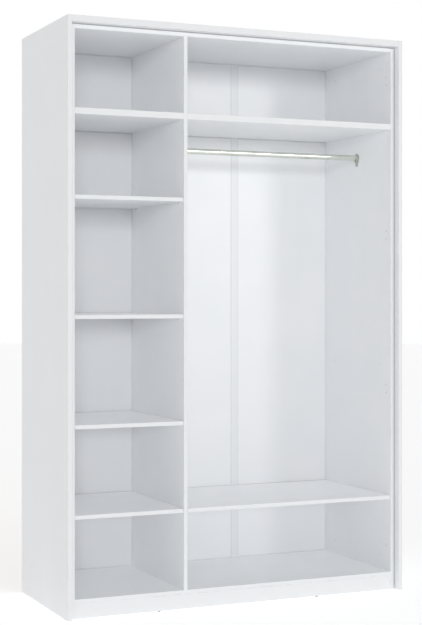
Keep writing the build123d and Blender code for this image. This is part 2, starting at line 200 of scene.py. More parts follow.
@dataclass(frozen=True)
class MelamineBoard:
    """White melamine-faced chipboard: paper pressed in resin on both faces, plastic edging, bare core.

    The eye gets an even cool white with a satin sheen that a pressed pearl grain breaks up, a hairline
    where the edging meets the face, and tan chips at the back edge and in drilled holes.
    """

    paper: str = "#F2F3F5"
    paper_cloud: str = "#EFF1F3"
    edging: str = "#EEF0F2"
    glue_line: str = "#C9C7C1"
    rubbed: str = "#D9DADB"
    chip_pale: str = "#D8C19A"
    chip_mid: str = "#B7935F"
    chip_dark: str = "#8A6840"
    cloud_mm: float = 160.0
    cloud_range: Range = (0.3, 0.7)
    pearl_mm: float = 6.0
    pearl_height_mm: float = 0.03
    sag_mm: float = 220.0
    sag_height_mm: float = 0.12
    edging_mm: float = 1.0
    glue_line_mm: float = 0.5
    rub_mm: float = 2.2
    patch_mm: float = 35.0
    rub_range: Range = (0.46, 0.66)
    rub_dulling: float = 0.2
    chip_mm: float = 3.2
    chip_height_mm: float = 0.25
    gap_range: Range = (0.35, 0.85)
    chip_roughness: float = 0.92
    fillet_mm: float = 0.35
    wiping: Triple = (1.0, 0.35, 0.22)
    smear_range: Range = (0.25, 0.75)
    smear: float = 0.05
    roughness: float = 0.36
    ior: float = 1.5

    def material(self, node: str, across: Axis) -> Material:
        """The finish of one board.

        Args:
            node: The board's CAD node.
            across: The direction of the board's thickness.

        Returns:
            A material that fits this board's box alone.
        """
        graph = Graph(f"melamine_board_{node}")
        offset, reach, half = graph.about_box(node)
        depth = graph.add("VectorMath", {0: half, 1: reach}, operation="SUBTRACT")
        depths = graph.add("SeparateXYZ", {0: depth}).node.outputs
        y = graph.add("SeparateXYZ", {0: offset}, "Y")
        core = self.core_mask(graph, depths, y, half, across)
        wear = self.wear_mask(graph, depths)
        colour = self.face_colour(graph, y, half, wear)
        chips, chip_bump = self.chip_core(graph)
        colour = graph.add("Mix", {0: core, COLOUR_A: colour, COLOUR_B: chips}, **COLOURS)
        satin, grain = self.pressed_face(graph, wear)
        sheen = graph.add("Mix", {0: core, NUMBER_A: satin, NUMBER_B: self.chip_roughness})
        relief = {"Distance": self.chip_height_mm * MM, "Height": chip_bump, "Normal": grain}
        normal = graph.add("Bump", {"Strength": core, **relief})
        return graph.finish({"Base Color": colour, "Roughness": sheen, "Normal": normal, "IOR": self.ior})

    def core_mask(
        self, graph: Graph, depths: Sequence[Socket], y: Socket, half: Vector, across: Axis
    ) -> Socket:
        """Where the bare core shows: the back edge and drilled holes.

        Args:
            graph: The material.
            depths: How deep a point lies below each pair of faces, in millimetres.
            y: How far behind the board's middle it is, in millimetres.
            half: The board's half sizes, in millimetres.
            across: The direction of the board's thickness.

        Returns:
            1 on the core and 0 on the faces and edging.
        """
        shallow = graph.add("Math", {0: depths[0], 1: depths[1]}, operation="MINIMUM")
        shallow = graph.add("Math", {0: shallow, 1: depths[2]}, operation="MINIMUM")
        holes = graph.add("Math", {0: shallow, 1: self.fillet_mm}, operation="GREATER_THAN")
        below_face = depths[across.value]
        inside = graph.add("Math", {0: below_face, 1: self.fillet_mm}, operation="GREATER_THAN")
        back = graph.add("Math", {0: y, 1: half.y - self.fillet_mm}, operation="GREATER_THAN")
        bare = graph.add("Math", {0: back, 1: inside}, operation="MULTIPLY")
        return graph.add("Math", {0: holes, 1: bare}, operation="MAXIMUM")

    def wear_mask(self, graph: Graph, depths: Sequence[Socket]) -> Socket:
        """Patches along the board's corners that hands and boxes have rubbed.

        Args:
            graph: The material.
            depths: How deep a point lies below each pair of faces, in millimetres.

        Returns:
            1 where the corner is rubbed, falling to 0 away from it.
        """
        lesser = graph.add("Math", {0: depths[0], 1: depths[1]}, operation="MINIMUM")
        greater = graph.add("Math", {0: depths[0], 1: depths[1]}, operation="MAXIMUM")
        inner = graph.add("Math", {0: greater, 1: depths[2]}, operation="MINIMUM")
        corner = graph.add("Math", {0: lesser, 1: inner}, operation="MAXIMUM")
        near = graph.add("MapRange", {"Value": corner, **between((self.rub_mm, 0.0))}, **SMOOTH)
        patches = graph.add("TexNoise", {"Vector": graph.place, "Scale": 1 / self.patch_mm, "Detail": 5.0})
        broken = graph.add("MapRange", {"Value": patches, **between(self.rub_range)}, **SMOOTH)
        return graph.add("Math", {0: near, 1: broken}, operation="MULTIPLY")

    def face_colour(self, graph: Graph, y: Socket, half: Vector, wear: Socket) -> Socket:
        """The whites of the paper and the edging, with the glue line between them.

        Args:
            graph: The material.
            y: How far behind the board's middle a point is, in millimetres.
            half: The board's half sizes, in millimetres.
            wear: The rubbed corners.

        Returns:
            The colour of the faces and the banded edges.
        """
        cloud = graph.add("TexNoise", {"Vector": graph.place, "Scale": 1 / self.cloud_mm, "Detail": 4.0})
        cloud = graph.add("MapRange", {"Value": cloud, **between(self.cloud_range)})
        behind_front = graph.add("Math", {0: y, 1: half.y}, operation="ADD")
        banded = graph.add("Math", {0: behind_front, 1: self.edging_mm}, operation="LESS_THAN")
        half_line = self.glue_line_mm / 2
        line = graph.add(
            "Math", {0: behind_front, 1: self.edging_mm + half_line, 2: half_line}, operation="COMPARE"
        )
        colour = linear(self.paper)
        layers = (
            (cloud, self.paper_cloud), (banded, self.edging), (line, self.glue_line), (wear, self.rubbed)
        )
        for mask, code in layers:
            colour = graph.add("Mix", {0: mask, COLOUR_A: colour, COLOUR_B: linear(code)}, **COLOURS)
        return colour

    def pressed_face(self, graph: Graph, wear: Socket) -> tuple[Socket, Socket]:
        """Satin gloss, and the pearl grain of the press plate on top of the long waves of the board.

        The gloss is duller in the streaks that wiping leaves and where the corners are rubbed. The real
        grain is about 1 mm across; it is drawn at 6 mm so that it shows.

        Args:
            graph: The material.
            wear: The rubbed corners.

        Returns:
            The roughness of the faces and their normal.
        """
        drawn_out = graph.add("VectorMath", {0: graph.place, 1: self.wiping}, operation="MULTIPLY")
        streaks = graph.add("TexNoise", {"Vector": drawn_out, "Scale": 1 / self.patch_mm, "Detail": 6.0})
        limits = {**between(self.smear_range), **about(self.roughness, self.smear)}
        satin = graph.add("MapRange", {"Value": streaks, **limits})
        satin = graph.add("Math", {0: wear, 1: self.rub_dulling, 2: satin}, operation="MULTIPLY_ADD")
        wave = graph.add("TexNoise", {"Vector": graph.place, "Scale": 1 / self.sag_mm, "Detail": 1.0})
        normal = graph.add("Bump", {"Distance": self.sag_height_mm * MM, "Height": wave})
        pearl = graph.add("TexNoise", {"Vector": graph.place, "Scale": 1 / self.pearl_mm, "Detail": 3.0})
        relief = {"Distance": self.pearl_height_mm * MM, "Height": pearl, "Normal": normal}
        return satin, graph.add("Bump", relief)

    def chip_core(self, graph: Graph) -> tuple[Socket, Socket]:
        """Pressed wood chips of three tans with dark gaps between them.

        Args:
            graph: The material.

        Returns:
            The colour of the chips and their height.
        """
        chips = graph.add("TexVoronoi", {"Vector": graph.place, "Scale": 1 / self.chip_mm}).node.outputs
        pick = graph.add("SeparateColor", {0: chips["Color"]})
        gap = graph.add("MapRange", {"Value": chips["Distance"], **between(self.gap_range)}, **SMOOTH)
        colour = linear(self.chip_mid)
        for mask, code in ((pick, self.chip_pale), (gap, self.chip_dark)):
            colour = graph.add("Mix", {0: mask, COLOUR_A: colour, COLOUR_B: linear(code)}, **COLOURS)
        height = graph.add("Math", {0: 1.0, 1: chips["Distance"]}, operation="SUBTRACT")
        return colour, height


@dataclass(frozen=True)
class LacqueredFibreboard:
    """Thin fibreboard: white roller lacquer on its inner face, bare pressed fibre behind and at its edges.

    The eye gets a brighter, slightly glossier white than the boards, with the faint upright lines of
    the lacquer roller, a grey line of painted shade where it meets a board, and a flecked brown from
    behind. Real lines and fibres are about 1 mm wide; they are drawn at 7 and 9 mm so that they show.
    """

    lacquer: str = "#F5F6F8"
    lacquer_thin: str = "#F2F4F6"
    fibre_pale: str = "#B48F66"
    fibre_dark: str = "#8C6A48"
    fleck: str = "#5E452E"
    # The grey of the painted shade where the panel meets a board.
    painted_shade: str = "#CDD0D2"
    cloud_mm: float = 260.0
    cloud_range: Range = (0.35, 0.7)
    roller_mm: float = 7.0
    roller_height_mm: float = 0.03
    rolling: Triple = (1.0, 1.0, 0.06)
    fibre_mm: float = 9.0
    fibre_height_mm: float = 0.08
    fibre_range: Range = (0.35, 0.65)
    fibre_matting: float = 1.6
    fibre_roughness: float = 0.85
    fleck_mm: float = 5.0
    fleck_reach: float = 0.13
    lacquer_depth_mm: float = 0.3
    # How wide the painted shade line is, and how big the patches that break it up are.
    shade_width_mm: float = 7.0
    patch_mm: float = 90.0
    roughness: float = 0.3
    gloss_spread: float = 0.04
    ior: float = 1.49

    def material(self, node: str, boards: Sequence[str]) -> Material:
        """The finish of one back panel.

        Args:
            node: The panel's CAD node.
            boards: The CAD nodes of the boards that it is nailed to.

        Returns:
            A material that fits this panel alone.
        """
        low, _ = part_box(node)
        graph = Graph(f"lacquered_fibreboard_{node}")
        y = graph.add("SeparateXYZ", {0: graph.place}, "Y")
        bare = graph.add("Math", {0: y, 1: low.y / MM + self.lacquer_depth_mm}, operation="GREATER_THAN")
        # The coat carries painted shade along the boards that the panel meets.
        lacquer, roller = self.lacquer_coat(graph, self.corner_shade(graph, boards))
        fibre, matted = self.pressed_fibre(graph)
        colour = graph.add("Mix", {0: bare, COLOUR_A: lacquer, COLOUR_B: fibre}, **COLOURS)
        gloss = graph.add("MapRange", {"Value": roller, **about(self.roughness, self.gloss_spread)})
        gloss = graph.add("Mix", {0: bare, NUMBER_A: gloss, NUMBER_B: self.fibre_roughness})
        normal = graph.add("Bump", {"Distance": self.roller_height_mm * MM, "Height": roller})
        relief = {"Distance": self.fibre_height_mm * MM, "Height": matted, "Normal": normal}
        normal = graph.add("Bump", {"Strength": bare, **relief})
        return graph.finish({"Base Color": colour, "Roughness": gloss, "Normal": normal, "IOR": self.ior})

    def lacquer_coat(self, graph: Graph, shaded: Socket) -> tuple[Socket, Socket]:
        """The white coat, its painted shade, and the lines that its roller left, which run up the panel.

        Args:
            graph: The material.
            shaded: How much painted shade lies on the coat, from 0 to 1.

        Returns:
            The coat's colour and the height of the roller lines.
        """
        cloud = graph.add("TexNoise", {"Vector": graph.place, "Scale": 1 / self.cloud_mm, "Detail": 3.0})
        thin = graph.add("MapRange", {"Value": cloud, **between(self.cloud_range)})
        colour = linear(self.lacquer)
        # Thin lacquer, then painted shade where the panel meets a board.
        for mask, code in ((thin, self.lacquer_thin), (shaded, self.painted_shade)):
            colour = graph.add("Mix", {0: mask, COLOUR_A: colour, COLOUR_B: linear(code)}, **COLOURS)
        drawn_out = graph.add("VectorMath", {0: graph.place, 1: self.rolling}, operation="MULTIPLY")
        roller = graph.add("TexNoise", {"Vector": drawn_out, "Scale": 1 / self.roller_mm, "Detail": 4.0})
        return colour, roller

    def corner_shade(self, graph: Graph, boards: Sequence[str]) -> Socket:
        """The grey line of painted shade where the panel meets a board, broken into patches.

        It fades out over 7 mm from each board.

        Args:
            graph: The material.
            boards: The CAD nodes of the boards that the panel is nailed to.

        Returns:
            How strong the painted shade is, from 0 to 1.
        """
        # Painted shade: darkest against each board, gone 7 mm from it, broken into patches.
        painted_shade = 0.0
        for board in boards:
            _, reach, half = graph.about_box(board)
            beyond = graph.add("VectorMath", {0: reach, 1: half}, operation="SUBTRACT")
            beside = graph.add("SeparateXYZ", {0: beyond}).node.outputs
            nearest = graph.add("Math", {0: beside["X"], 1: beside["Z"]}, operation="MAXIMUM")
            line = graph.add("MapRange", {"Value": nearest, **between((self.shade_width_mm, 0.0))})
            painted_shade = graph.add("Math", {0: line, 1: painted_shade}, operation="MAXIMUM")
        patches = graph.add("TexNoise", {"Vector": graph.place, "Scale": 1 / self.patch_mm, "Detail": 4.0})
        return graph.add("Math", {0: painted_shade, 1: patches}, operation="MULTIPLY")

    def pressed_fibre(self, graph: Graph) -> tuple[Socket, Socket]:
        """Matted brown fibre with dark flecks of bark.

        Args:
            graph: The material.

        Returns:
            The fibre's colour and its height.
        """
        tangle = {"Scale": 1 / self.fibre_mm, "Detail": 8.0, "Distortion": self.fibre_matting}
        matted = graph.add("TexNoise", {"Vector": graph.place, **tangle})
        tone = graph.add("MapRange", {"Value": matted, **between(self.fibre_range)})
        specks = graph.add("TexVoronoi", {"Vector": graph.place, "Scale": 1 / self.fleck_mm}, "Distance")
        bark = graph.add("Math", {0: specks, 1: self.fleck_reach}, operation="LESS_THAN")
        colour = linear(self.fibre_dark)
        for mask, code in ((tone, self.fibre_pale), (bark, self.fleck)):
            colour = graph.add("Mix", {0: mask, COLOUR_A: colour, COLOUR_B: linear(code)}, **COLOURS)
        return colour, matted


@dataclass(frozen=True)
class ExtrudedVinyl:
    """White extruded PVC, as a cover strip is: smooth, with die lines along its length.

    The eye gets a clean bright centre and grey patches of painted shade along both edges. The die lines
    are much finer in truth; they are drawn at 1.6 mm so that they show.
    """

    vinyl: str = "#EDEFF1"
    # The grey of the painted shade along the strip's edges.
    painted_shade: str = "#BFC0C0"
    die_line_mm: float = 1.6
    die_line_height_mm: float = 0.02
    drawing: Triple = (1.0, 1.0, 0.004)
    # Painted shade along each edge: its width, the size of its patches and how much it dulls the gloss.
    shade_width_mm: float = 3.0
    patch_mm: float = 50.0
    edge_dulling: float = 0.3
    roughness: float = 0.32
    gloss_spread: float = 0.06
    ior: float = 1.53

    def material(self, node: str) -> Material:
        """The finish of one upright strip.

        Args:
            node: The strip's CAD node.

        Returns:
            A material that fits this strip alone.
        """
        graph = Graph(f"extruded_vinyl_{node}")
        _, reach, half = graph.about_box(node)
        # Painted shade, grey and patchy, along both edges of the strip.
        aside = graph.add("SeparateXYZ", {0: reach}, "X")
        edge = graph.add("MapRange", {"Value": aside, **between((half.x - self.shade_width_mm, half.x))}, **SMOOTH)
        patches = graph.add("TexNoise", {"Vector": graph.place, "Scale": 1 / self.patch_mm, "Detail": 4.0})
        shaded = graph.add("Math", {0: edge, 1: patches}, operation="MULTIPLY")
        colours = {COLOUR_A: linear(self.vinyl), COLOUR_B: linear(self.painted_shade)}
        colour = graph.add("Mix", {0: shaded, **colours}, **COLOURS)
        drawn_out = graph.add("VectorMath", {0: graph.place, 1: self.drawing}, operation="MULTIPLY")
        lines = graph.add("TexNoise", {"Vector": drawn_out, "Scale": 1 / self.die_line_mm, "Detail": 3.0})
        gloss = graph.add("MapRange", {"Value": lines, **about(self.roughness, self.gloss_spread)})
        dulled = graph.add("Math", {0: shaded, 1: self.edge_dulling, 2: gloss}, operation="MULTIPLY_ADD")
        normal = graph.add("Bump", {"Distance": self.die_line_height_mm * MM, "Height": lines})
        return graph.finish({"Base Color": colour, "Roughness": dulled, "Normal": normal, "IOR": self.ior})


@dataclass(frozen=True)
class PlatedMetal:
    """Metal with a thin bright plating, drawn, cast or rolled before it was plated.

    The eye gets a tinted mirror softened by fine scratches or by the skin of the casting, with duller
    patches where the plating is thin. The real marks are as fine as hairs; they are drawn at about 1 to
    2.5 mm so that they show.
    """

    name: str
    plate: str
    thin_plate: str
    roughness: float
    stretch: Triple
    mark_mm: float
    mark_height_mm: float
    patch_mm: float
    mark_range: Range = (0.3, 0.7)
    mark_dulling: float = 0.25
    thin_range: Range = (0.42, 0.68)
    thin_dulling: float = 0.08

    def material(self) -> Material:
        """The finish, the same on every piece that it covers."""
        graph = Graph(self.name)
        patches = graph.add("TexNoise", {"Vector": graph.place, "Scale": 1 / self.patch_mm, "Detail": 5.0})
        thin = graph.add("MapRange", {"Value": patches, **between(self.thin_range)}, **SMOOTH)
        colours = {COLOUR_A: linear(self.plate), COLOUR_B: linear(self.thin_plate)}
        colour = graph.add("Mix", {0: thin, **colours}, **COLOURS)
        drawn_out = graph.add("VectorMath", {0: graph.place, 1: self.stretch}, operation="MULTIPLY")
        marks = graph.add("TexNoise", {"Vector": drawn_out, "Scale": 1 / self.mark_mm, "Detail": 5.0})
        sheen = about(self.roughness, self.roughness * self.mark_dulling)
        marked = graph.add("MapRange", {"Value": marks, **between(self.mark_range), **sheen})
        dulled = graph.add("Math", {0: thin, 1: self.thin_dulling, 2: marked}, operation="MULTIPLY_ADD")
        normal = graph.add("Bump", {"Distance": self.mark_height_mm * MM, "Height": marks})
        return graph.finish({"Base Color": colour, "Roughness": dulled, "Normal": normal, "Metallic": 1.0})


@dataclass(frozen=True)
class MouldedPlastic:
    """Injection-moulded plastic with a fine spark-eroded grain and faint flow clouds.

    The eye gets a soft even colour with a dull sheen, and a little light passes into the pale ones. The
    real grain is about 0.1 mm; it is drawn at 1.2 mm so that it shows.
    """

    name: str
    resin: str
    flow: str
    roughness: float = 0.46
    gloss_spread: float = 0.08
    grain_mm: float = 1.2
    grain_height_mm: float = 0.02
    flow_mm: float = 14.0
    flow_range: Range = (0.35, 0.65)
    flow_swirl: float = 0.8
    glow: float = 0.05
    ior: float = 1.49

    def material(self) -> Material:
        """The finish, the same on every piece that it covers."""
        graph = Graph(self.name)
        swirl = {"Scale": 1 / self.flow_mm, "Detail": 3.0, "Distortion": self.flow_swirl}
        clouds = graph.add("TexNoise", {"Vector": graph.place, **swirl})
        mixed = graph.add("MapRange", {"Value": clouds, **between(self.flow_range)})
        colours = {COLOUR_A: linear(self.resin), COLOUR_B: linear(self.flow)}
        colour = graph.add("Mix", {0: mixed, **colours}, **COLOURS)
        grain = graph.add("TexNoise", {"Vector": graph.place, "Scale": 1 / self.grain_mm, "Detail": 2.0})
        gloss = graph.add("MapRange", {"Value": grain, **about(self.roughness, self.gloss_spread)})
        normal = graph.add("Bump", {"Distance": self.grain_height_mm * MM, "Height": grain})
        skin = {"Base Color": colour, "Roughness": gloss, "Normal": normal, "IOR": self.ior}
        depth = {"Subsurface Weight": self.glow, "Subsurface Radius": (MM, MM, MM), "Subsurface Scale": 1.0}
        return graph.finish({**skin, **depth})


@dataclass(frozen=True)
class FlutedBeech:
    """Unfinished beech turned into dowels.

    The eye gets warm pinkish tan with short dark pores that run along the dowel. Real pores are about
    0.1 mm wide; they are drawn at 0.7 mm so that they show.
    """

    early_wood: str = "#DDBE92"
    late_wood: str = "#C79E6C"
    pore: str = "#8F6A42"
    growth: Triple = (1.0, 1.0, 0.08)
    ring_mm: float = 2.2
    ring_range: Range = (0.4, 0.62)
    pore_mm: float = 0.7
    pore_range: Range = (0.62, 0.7)
    pore_height_mm: float = 0.05
    roughness: float = 0.7
    gloss_spread: float = 0.1

    def material(self) -> Material:
        """The finish, laid out by each dowel's own axis."""
        graph = Graph("fluted_beech")
        own = graph.add("Attribute", {}, "Vector", attribute_name=OWN_PLACE)
        grown = graph.add("VectorMath", {0: own, 1: self.growth}, operation="MULTIPLY")
        rings = graph.add("TexNoise", {"Vector": grown, "Scale": 1 / self.ring_mm, "Detail": 3.0})
        tone = graph.add("MapRange", {"Value": rings, **between(self.ring_range)})
        pores = graph.add("TexNoise", {"Vector": grown, "Scale": 1 / self.pore_mm, "Detail": 2.0})
        open_pore = graph.add("MapRange", {"Value": pores, **between(self.pore_range)}, **SMOOTH)
        colour = linear(self.early_wood)
        for mask, code in ((tone, self.late_wood), (open_pore, self.pore)):
            colour = graph.add("Mix", {0: mask, COLOUR_A: colour, COLOUR_B: linear(code)}, **COLOURS)
        roughness = graph.add("MapRange", {"Value": rings, **about(self.roughness, self.gloss_spread)})
        normal = graph.add("Bump", {"Distance": self.pore_height_mm * MM, "Height": pores})
        return graph.finish({"Base Color": colour, "Roughness": roughness, "Normal": normal})


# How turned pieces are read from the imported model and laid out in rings.
SAME_CORNER_MM = 0.005
READ_DECIMALS = 2
ORDER_DECIMALS = 5
RINGS_PER_PITCH = 6
RINGS_PER_PIECE = 4
SHARP_FROM_DEG = 38

# How they are cut: the most of an edge that a broken corner takes, how deep the head's skin counts as
# head, a cross recess's reach in half widths, and how steep the walls of recesses and threads are.
MOST_EASED = 0.4
HEAD_SKIN_MM = 0.01
CROSS_ARM = 2.6
CROSS_SLOPE = 3.0
HEXAGON_SLOPE = 6.0
THREAD_SLOPE = 2.6

# How the edges of castings, mouldings and bent steel are rounded.
JOINED_MM = 0.01
ROUNDING_STEPS = 3
ROUNDED_FROM_DEG = 40


@dataclass(frozen=True)
class Turned:
    """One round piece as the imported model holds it.

    Attributes:
        start: The middle of its head, in metres.
        direction: From its head to its tip.
        outline: Its half outline from head to tip, as (radius, along) in millimetres.
    """

    start: Vector
    direction: Vector
    outline: tuple[Range, ...]


@dataclass(frozen=True)
class Cut:
    """What the lathe, the thread roller and the punch do to a plain round outline.

    Attributes:
        recess: The recess in its head.
        recess_mm: The recess's half width across its arms, or from the axis to a flat.
        recess_depth_mm: How deep the recess goes.
        pitch_mm: The thread's pitch, or 0 for none.
        thread_mm: How deep the thread is cut.
        flutes: How many grooves run along it.
        flute_mm: How deep the grooves are.
        ease_mm: How much its corners are broken.
        steps: How many flats go round it.
    """

    recess: Recess = Recess.NONE
    recess_mm: float = 0.0
    recess_depth_mm: float = 0.0
    pitch_mm: float = 0.0
    thread_mm: float = 0.0
    flutes: int = 0
    flute_mm: float = 0.0
    ease_mm: float = 0.2
    steps: int = 32


def corners_of_box(points: Sequence[Vector]) -> tuple[Vector, Vector]:
    """The lowest and the highest corner of the box around some points."""
    columns = list(zip(*points))
    return Vector([min(column) for column in columns]), Vector([max(column) for column in columns])


def separate_solids(node: str) -> list[list[Vector]]:
    """Splits a CAD node into its solids.

    Args:
        node: The CAD node.

    Returns:
        The corner points of each solid, in metres, ordered by the middle of their boxes.
    """
    mesh = bmesh.new()
    mesh.from_mesh(frame["nodes"][node].data)
    bmesh.ops.remove_doubles(mesh, verts=mesh.verts, dist=SAME_CORNER_MM * MM)
    waiting = set(mesh.verts)
    solids = {}
    while waiting:
        reached = [waiting.pop()]
        points = []
        while reached:
            corner = reached.pop()
            points.append(corner.co.copy())
            for edge in corner.link_edges:
                other = edge.other_vert(corner)
                if other in waiting:
                    waiting.remove(other)
                    reached.append(other)
        low, high = corners_of_box(points)
        solids[tuple(round(c, ORDER_DECIMALS) for c in (low + high) / 2)] = points
    mesh.free()
    return [solids[middle] for middle in sorted(solids)]


def read_turned(points: Sequence[Vector]) -> Turned:
    """Reads a round solid back as an outline about its own axis.

    Args:
        points: The solid's corner points.

    Returns:
        The turned piece, its head first.
    """
    low, high = corners_of_box(points)
    size = high - low
    across = [abs(size[(i + 1) % 3] - size[(i + 2) % 3]) for i in range(3)]
    along = across.index(min(across))
    axis = Vector([float(i == along) for i in range(3)])
    half = size[along] / 2
    levels: dict[float, list[float]] = {}
    for point in points:
        offset = point - (low + high) / 2
        level = offset.dot(axis)
        radius = (offset - level * axis).length / MM
        levels.setdefault(round(level / MM, READ_DECIMALS), []).append(round(radius, READ_DECIMALS))
    if max(levels[max(levels)]) > max(levels[min(levels)]):
        axis = -axis
        levels = {-level: radii for level, radii in levels.items()}
    outline = [(0.0, 0.0)]
    for level in sorted(levels):
        radii = {min(levels[level]), max(levels[level])}
        nearest_first = sorted(radii, key=lambda radius: abs(radius - outline[-1][0]))
        outline += [(radius, level + half / MM) for radius in nearest_first]
    return Turned((low + high) / 2 - axis * half, axis, tuple(outline[1:]))


def eased(outline: Sequence[Range], ease: float) -> list[Range]:
    """Breaks the corners of an outline.

    Args:
        outline: (radius, along) from head to tip, in millimetres.
        ease: How far from each corner the break starts.

    Returns:
        The outline from axis to axis, with each corner as two points.
    """
    tip = outline[-1][1]
    corners = [Vector((0.0, 0.0)), *(Vector(point) for point in outline), Vector((0.0, tip))]
    points = [corners[0]]
    for before, corner, after in zip(corners, corners[1:], corners[2:]):
        for neighbour in (before, after):
            run = neighbour - corner
            points.append(corner + run.normalized() * min(ease, run.length * MOST_EASED))
    points.append(corners[-1])
    return [(point.x, point.y) for point in points]


def filled_in(outline: Sequence[Range], step: float) -> list[Range]:
    """Adds points to an outline so that none is further than a step from the next."""
    points = [outline[0]]
    for start, end in zip(outline, outline[1:]):
        parts = max(1, math.ceil(math.dist(start, end) / step))
        for part in range(1, parts + 1):
            points.append(tuple(a + (b - a) * part / parts for a, b in zip(start, end)))
    return points


def recess_share(cut: Cut, x: float, y: float) -> float:
    """How much of the recess's depth a point on the head has, from 0 to 1.

    Args:
        cut: What is cut.
        x: The point's place across the head, in millimetres.
        y: Its place the other way across.

    Returns:
        1 in the middle of the recess and 0 outside it.
    """
    if cut.recess is Recess.CROSS:
        inside = cut.recess_mm - min(abs(x), abs(y))
        wall = max(0.0, min(1.0, CROSS_SLOPE * inside / cut.recess_mm))
        return wall * max(0.0, 1.0 - max(abs(x), abs(y)) / (CROSS_ARM * cut.recess_mm))
    if cut.recess is Recess.HEXAGON:
        turns = [math.radians(60 * side) for side in range(3)]
        flat = max(abs(x * math.cos(turn) + y * math.sin(turn)) for turn in turns)
        return max(0.0, min(1.0, HEXAGON_SLOPE * (cut.recess_mm - flat) / cut.recess_mm))
    return 0.0


def shaped(cut: Cut, radius: float, along: float, angle: float, thread: Range) -> Vector:
    """Places a point of a turned skin after the recess, thread and flutes are cut.

    Args:
        cut: What is cut.
        radius: The plain outline's radius, in millimetres.
        along: How far the point is from the head, in millimetres.
        angle: The point's angle round the axis.
        thread: Where the thread starts and ends along the axis.

    Returns:
        The point in the piece's own millimetres, with Z along the axis.
    """
    removed = 0.0
    if along < HEAD_SKIN_MM:
        share = recess_share(cut, radius * math.cos(angle), radius * math.sin(angle))
        along += cut.recess_depth_mm * share
    if cut.pitch_mm and thread[0] < along < thread[1] and radius > cut.thread_mm:
        turn = (along / cut.pitch_mm - angle / math.tau) % 1.0
        runout = min(1.0, (along - thread[0]) / cut.pitch_mm, (thread[1] - along) / cut.pitch_mm)
        removed += cut.thread_mm * min(1.0, THREAD_SLOPE * abs(turn - 0.5)) * runout
    if cut.flutes and radius > cut.flute_mm:
        removed += cut.flute_mm * (0.5 - 0.5 * math.cos(cut.flutes * angle))
    return Vector(((radius - removed) * math.cos(angle), (radius - removed) * math.sin(angle), along))


def lathe(name: str, pieces: Sequence[Turned], cut: Cut) -> bpy.types.Object:
    """Builds turned pieces as one object.

    Args:
        name: The object's name.
        pieces: Where the pieces are and their outlines.
        cut: What is cut into each of them.

    Returns:
        The object, with every point's own place kept as an attribute.
    """
    mesh = bmesh.new()
    own = mesh.verts.layers.float_vector.new(OWN_PLACE)
    for piece in pieces:
        turn = Vector((0, 0, 1)).rotation_difference(piece.direction)
        fine = cut.pitch_mm / RINGS_PER_PITCH if cut.pitch_mm else piece.outline[-1][1] / RINGS_PER_PIECE
        if cut.recess is not Recess.NONE:
            fine = min(fine, cut.recess_mm / 2)
        thin = min(radius for radius, along in piece.outline)
        starts = [along for radius, along in piece.outline if radius == thin]
        thread = (starts[0], starts[-1])
        rings = []
        for radius, along in filled_in(eased(piece.outline, cut.ease_mm), fine):
            ring = []
            for step in range(cut.steps if radius > 0 else 1):
                place = shaped(cut, radius, along, math.tau * step / cut.steps, thread)
                corner = mesh.verts.new(piece.start + turn @ (place * MM))
                corner[own] = place
                ring.append(corner)
            rings.append(ring)
        skin_between(mesh, rings)
    bmesh.ops.recalc_face_normals(mesh, faces=mesh.faces)
    made = bpy.data.meshes.new(name)
    mesh.to_mesh(made)
    mesh.free()
    made.shade_smooth()
    made.set_sharp_from_angle(angle=math.radians(SHARP_FROM_DEG))
    return shown(made)


def skin_between(mesh: bmesh.types.BMesh, rings: Sequence[Sequence[bmesh.types.BMVert]]) -> None:
    """Joins each ring of corners to the next; a ring of one corner closes the end."""
    for ring, following in zip(rings, rings[1:]):
        count = max(len(ring), len(following))
        for step in range(count):
            ahead = (step + 1) % count
            corners = [ring[place % len(ring)] for place in (ahead, step)]
            corners += [following[place % len(following)] for place in (step, ahead)]
            mesh.faces.new(list(dict.fromkeys(corners)))


def shown(data: bpy.types.ID) -> bpy.types.Object:
    """Puts a mesh, light or camera into the scene as an object of the same name."""
    item = bpy.data.objects.new(data.name, data)
    bpy.context.scene.collection.objects.link(item)
    return item


def dress(item: bpy.types.Object, material: Material) -> None:
    """Puts a material in an object's slots, or in a new slot if it has none."""
    if not item.material_slots:
        item.data.materials.append(material)
    for slot in item.material_slots:
        slot.material = material


